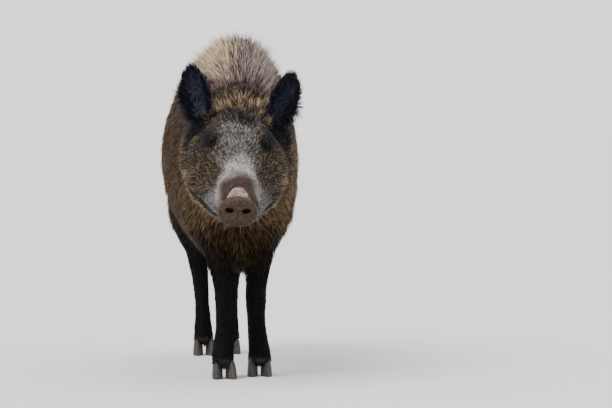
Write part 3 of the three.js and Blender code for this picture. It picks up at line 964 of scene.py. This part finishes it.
def eye_piece(side):
    """An eyeball whose front bulges over the iris."""
    bm = bmesh.new()
    bmesh.ops.create_icosphere(bm, subdivisions=5, radius=EYE_RADIUS)
    gaze = Vector(GAZE[side])
    ways = []
    for v in bm.verts:
        facing = v.co.normalized().dot(gaze)
        ways.append(facing)
        v.co *= 1 + 0.07 * float(step(0.8, 1.0, facing))
    bmesh.ops.translate(bm, verts=bm.verts, vec=EYES[side])
    ball = piece_from(f"eyeball_{side}", bm)
    give(ball.data, "facing", ways)
    finish_piece(ball, wet_eye(), [f"eye_{side}"])


def hoof_piece(leg):
    """The two claws and two dewclaws of a foot, rounded, with their soles left flat on the floor."""
    nodes = [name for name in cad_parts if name.startswith(leg) and "claw" in name]
    bm = remeshed(copies_of(nodes), 1.9 * MM, 5)
    for v in bm.verts:
        v.co.z = max(v.co.z, 0.0)
    finish_piece(piece_from(f"{leg}_hoof", bm), hoof_horn(), nodes)


# ---- Materials ----

def material_for(name):
    material = bpy.data.materials.new(name)
    material.use_nodes = True
    tree = material.node_tree
    return material, tree, tree.nodes["Principled BSDF"]


def wire(tree, kind, inputs=None, **settings):
    """A new node with its settings made and its inputs set or joined to other nodes' outputs."""
    node = tree.nodes.new(kind)
    for key, value in settings.items():
        setattr(node, key, value)
    for key, value in (inputs or {}).items():
        if isinstance(value, bpy.types.NodeSocket):
            tree.links.new(value, node.inputs[key])
        else:
            node.inputs[key].default_value = value
    return node


def attribute(tree, name):
    return wire(tree, "ShaderNodeAttribute", attribute_name=name)


def maths(tree, operation, *values):
    return wire(tree, "ShaderNodeMath", dict(enumerate(values)), operation=operation).outputs[0]


def mix(tree, share, a, b, blend="MIX"):
    node = wire(tree, "ShaderNodeMix", data_type="RGBA", blend_type=blend)
    for socket, value in zip([node.inputs[0], node.inputs[6], node.inputs[7]], (share, a, b)):
        if isinstance(value, bpy.types.NodeSocket):
            tree.links.new(value, socket)
        else:
            socket.default_value = value
    return node.outputs[2]


def between(tree, value, low, high, to_low=0.0, to_high=1.0):
    inputs = {"Value": value, "From Min": low, "From Max": high, "To Min": to_low, "To Max": to_high}
    return wire(tree, "ShaderNodeMapRange", inputs, interpolation_type="SMOOTHSTEP").outputs[0]


def soft_noise(tree, vector, scale, detail=3.0):
    inputs = {"Vector": vector, "Scale": scale, "Detail": detail, "Roughness": 0.6}
    return wire(tree, "ShaderNodeTexNoise", inputs).outputs["Fac"]


def place_in_object(tree):
    return wire(tree, "ShaderNodeTexCoord").outputs["Object"]


def new_group(name, inputs, outputs):
    """An empty shader group with its sockets made. Returns it with its input and output nodes."""
    group = bpy.data.node_groups.new(name, "ShaderNodeTree")
    for socket, kind in inputs.items():
        group.interface.new_socket(socket, in_out="INPUT", socket_type=f"NodeSocket{kind}")
    for socket, kind in outputs.items():
        group.interface.new_socket(socket, in_out="OUTPUT", socket_type=f"NodeSocket{kind}")
    return group, wire(group, "NodeGroupInput"), wire(group, "NodeGroupOutput")


def grizzle_group():
    """A tuft's colour: dark at the root and lighter at the tip, more on some tufts than on others, with painted shade
    that darkens it deeper in the coat.
    """
    inputs = {"Root": "Color", "Tip": "Color", "Along": "Float", "Fleck": "Float"}
    group, given, result = new_group("grizzle", inputs, {"Color": "Color"})
    reach = between(group, given.outputs["Along"], 0.15, 0.95)
    share = maths(group, "MULTIPLY", reach, given.outputs["Fleck"])
    tone = mix(group, share, given.outputs["Root"], given.outputs["Tip"])
    cloud = soft_noise(group, place_in_object(group), 26.0)
    # Painted shade: each tuft is darker towards its root, as shade deep in the coat.
    deep = between(group, given.outputs["Along"], 0.0, 0.6, 0.6, 1.0)
    light = maths(group, "MULTIPLY", deep, between(group, cloud, 0.25, 0.75, 0.8, 1.18))
    shaded = wire(group, "ShaderNodeVectorMath", {0: tone, "Scale": light}, operation="SCALE")
    group.links.new(shaded.outputs[0], result.inputs["Color"])
    return group


def dust_group():
    """Dust that lies thickest low down, in patches."""
    inputs = {"Color": "Color", "Dust": "Color", "Top": "Float"}
    group, given, result = new_group("dust", inputs, {"Color": "Color", "Amount": "Float"})
    place = place_in_object(group)
    height = wire(group, "ShaderNodeSeparateXYZ", {0: place}).outputs["Z"]
    low = maths(group, "SUBTRACT", 1.0, maths(group, "DIVIDE", height, given.outputs["Top"]))
    patch = between(group, soft_noise(group, place, 90.0, 5.0), 0.35, 0.68)
    amount = maths(group, "MULTIPLY", wire(group, "ShaderNodeClamp", {0: low}).outputs[0], patch)
    group.links.new(mix(group, amount, given.outputs["Color"], given.outputs["Dust"]), result.inputs["Color"])
    group.links.new(amount, result.inputs["Amount"])
    return group


def use_group(tree, group, inputs):
    return wire(tree, "ShaderNodeGroup", inputs, node_tree=group)


def shown_tone(colour):
    return (*linear(colour), 1.0)


def tuft_material(name, roughness, specular, dust_top, sheen=0.0):
    material, tree, shader = material_for(name)
    tones = {
        "Root": attribute(tree, "root_tone").outputs["Color"],
        "Tip": attribute(tree, "tip_tone").outputs["Color"],
        "Along": attribute(tree, "along").outputs["Fac"],
        "Fleck": attribute(tree, "fleck").outputs["Fac"],
    }
    colour = use_group(tree, GRIZZLE, tones).outputs["Color"]
    dusty = use_group(tree, DUST, {"Color": colour, "Dust": shown_tone((120, 106, 92)), "Top": dust_top})
    tree.links.new(dusty.outputs["Color"], shader.inputs["Base Color"])
    shader.inputs["Roughness"].default_value = roughness
    shader.inputs["Specular IOR Level"].default_value = specular
    shader.inputs["Sheen Weight"].default_value = sheen
    shader.inputs["Sheen Tint"].default_value = (0.6, 0.68, 1.0, 1)
    return material


def bristles():
    return tuft_material("bristles", 0.6, 0.12, 0.05)


def face_hair():
    return tuft_material("face_hair", 0.6, 0.1, 0.05)


def black_hair():
    return tuft_material("black_hair", 0.5, 0.06, 0.05, sheen=0.02)


def hide():
    """The skin under the coat: the coat's own tones in fine streaks, and bare, creased, damp skin on the snout, with
    painted shade darkening its creases.
    """
    material, tree, shader = material_for("hide")
    root, tip = [attribute(tree, f"{end}_tone").outputs["Color"] for end in ("root", "tip")]
    bare, fine = [attribute(tree, name).outputs["Fac"] for name in ("bare", "fine")]
    combed = attribute(tree, "combed").outputs["Vector"]
    place = place_in_object(tree)
    streak = soft_noise(tree, combed, 900.0, 4.0)
    fur = mix(tree, between(tree, streak, 0.3, 0.75, 0.0, 0.75), root, tip)
    blotch = mix(tree, between(tree, soft_noise(tree, place, 140.0, 5.0), 0.3, 0.7), root, tip)
    cells = wire(tree, "ShaderNodeTexVoronoi", {"Vector": place, "Scale": 420.0}, feature="DISTANCE_TO_EDGE")
    crack = between(tree, cells.outputs["Distance"], 0.0, 0.25)
    # Painted shade: the cracks between the cells are darker, as shade in the creases.
    creased = mix(tree, 1.0, blotch, between(tree, crack, 0.0, 1.0, 0.78, 1.0), "MULTIPLY")
    tone = mix(tree, bare, fur, creased)
    dusty = use_group(tree, DUST, {"Color": tone, "Dust": shown_tone((120, 106, 92)), "Top": 0.05})
    tree.links.new(dusty.outputs["Color"], shader.inputs["Base Color"])
    rough = mix(tree, bare, streak, crack)
    bump = wire(tree, "ShaderNodeBump", {"Height": rough, "Strength": 0.5, "Distance": 0.8 * MM})
    tree.links.new(bump.outputs["Normal"], shader.inputs["Normal"])
    tree.links.new(between(tree, bare, 0.0, 1.0, 0.7, 0.45), shader.inputs["Roughness"])
    shader.inputs["Specular IOR Level"].default_value = 0.1
    tree.links.new(maths(tree, "MULTIPLY", bare, 0.12), shader.inputs["Coat Weight"])
    shader.inputs["Coat Roughness"].default_value = 0.35
    return material


def wet_eye():
    material, tree, shader = material_for("wet_eye")
    facing = attribute(tree, "facing").outputs["Fac"]
    place = place_in_object(tree)
    fleck = between(tree, soft_noise(tree, place, 900.0), 0.3, 0.7)
    iris = mix(tree, fleck, shown_tone((9, 6, 5)), shown_tone((24, 16, 11)))
    white = mix(tree, fleck, shown_tone((8, 7, 7)), shown_tone((17, 14, 13)))
    ball = mix(tree, between(tree, facing, 0.74, 0.8), white, iris)
    tone = mix(tree, between(tree, facing, 0.9, 0.92), ball, shown_tone((4, 4, 5)))
    tree.links.new(tone, shader.inputs["Base Color"])
    shader.inputs["Roughness"].default_value = 0.08
    shader.inputs["Specular IOR Level"].default_value = 0.08
    return material


def hoof_horn():
    """Dark horn with growth rings that run round it, dusty towards the sole."""
    material, tree, shader = material_for("hoof_horn")
    place = place_in_object(tree)
    height = wire(tree, "ShaderNodeSeparateXYZ", {0: place}).outputs["Z"]
    wobble = maths(tree, "MULTIPLY", soft_noise(tree, place, 60.0), 0.006)
    rings = maths(tree, "SINE", maths(tree, "MULTIPLY", maths(tree, "ADD", height, wobble), 2400.0))
    grain = soft_noise(tree, place, 350.0, 5.0)
    tone = mix(tree, between(tree, grain, 0.3, 0.7), shown_tone((23, 20, 19)), shown_tone((52, 46, 41)))
    dusty = use_group(tree, DUST, {"Color": tone, "Dust": shown_tone((92, 82, 72)), "Top": 0.035})
    tree.links.new(dusty.outputs["Color"], shader.inputs["Base Color"])
    relief = maths(tree, "ADD", maths(tree, "MULTIPLY", rings, 0.35), grain)
    bump = wire(tree, "ShaderNodeBump", {"Height": relief, "Strength": 0.5, "Distance": 0.6 * MM})
    tree.links.new(bump.outputs["Normal"], shader.inputs["Normal"])
    tree.links.new(between(tree, dusty.outputs["Amount"], 0.0, 1.0, 0.5, 0.85), shader.inputs["Roughness"])
    return material


def plain_floor():
    material, tree, shader = material_for("pale_floor")
    shader.inputs["Base Color"].default_value = (0.82, 0.815, 0.8, 1)
    shader.inputs["Roughness"].default_value = 0.9
    return material


# ---- Assembly ----

GRIZZLE = grizzle_group()
DUST = dust_group()

mesh = bare_shape()
surface = Surface(mesh)
surface.even_out(surface.on("neck", "chest", "belly", "rump", rounds=40), TRUNK_ROUNDS)
surface.even_out(surface.on("head", "foreleg", "hindleg", rounds=10), LIMB_ROUNDS)
shares = lay_coat(surface)
lie = comb_coat(surface)
length, lift, stray, width, gap, flecks = (shares @ SIZES).T * UNITS
sink_skin(surface, length, lift)
shape_disc(surface)
shape_snout(surface)
shape_mouth(surface)
shape_lids(surface)
fields = {
    "length": length,
    "lift": lift,
    "stray": stray,
    "width": width,
    "gap": gap,
    "flecks": flecks,
    "lie": lie,
    "root_tone": shares @ ROOTS,
    "tip_tone": shares @ TIPS,
}
grow_coat(surface, fields)
skin_piece(mesh, surface, shares, lie)
for side in SIDES:
    eye_piece(side)
for leg in ("foreleg_left", "foreleg_right", "hindleg_left", "hindleg_right"):
    hoof_piece(leg)

place_camera()
light_studio()
lay_floor()
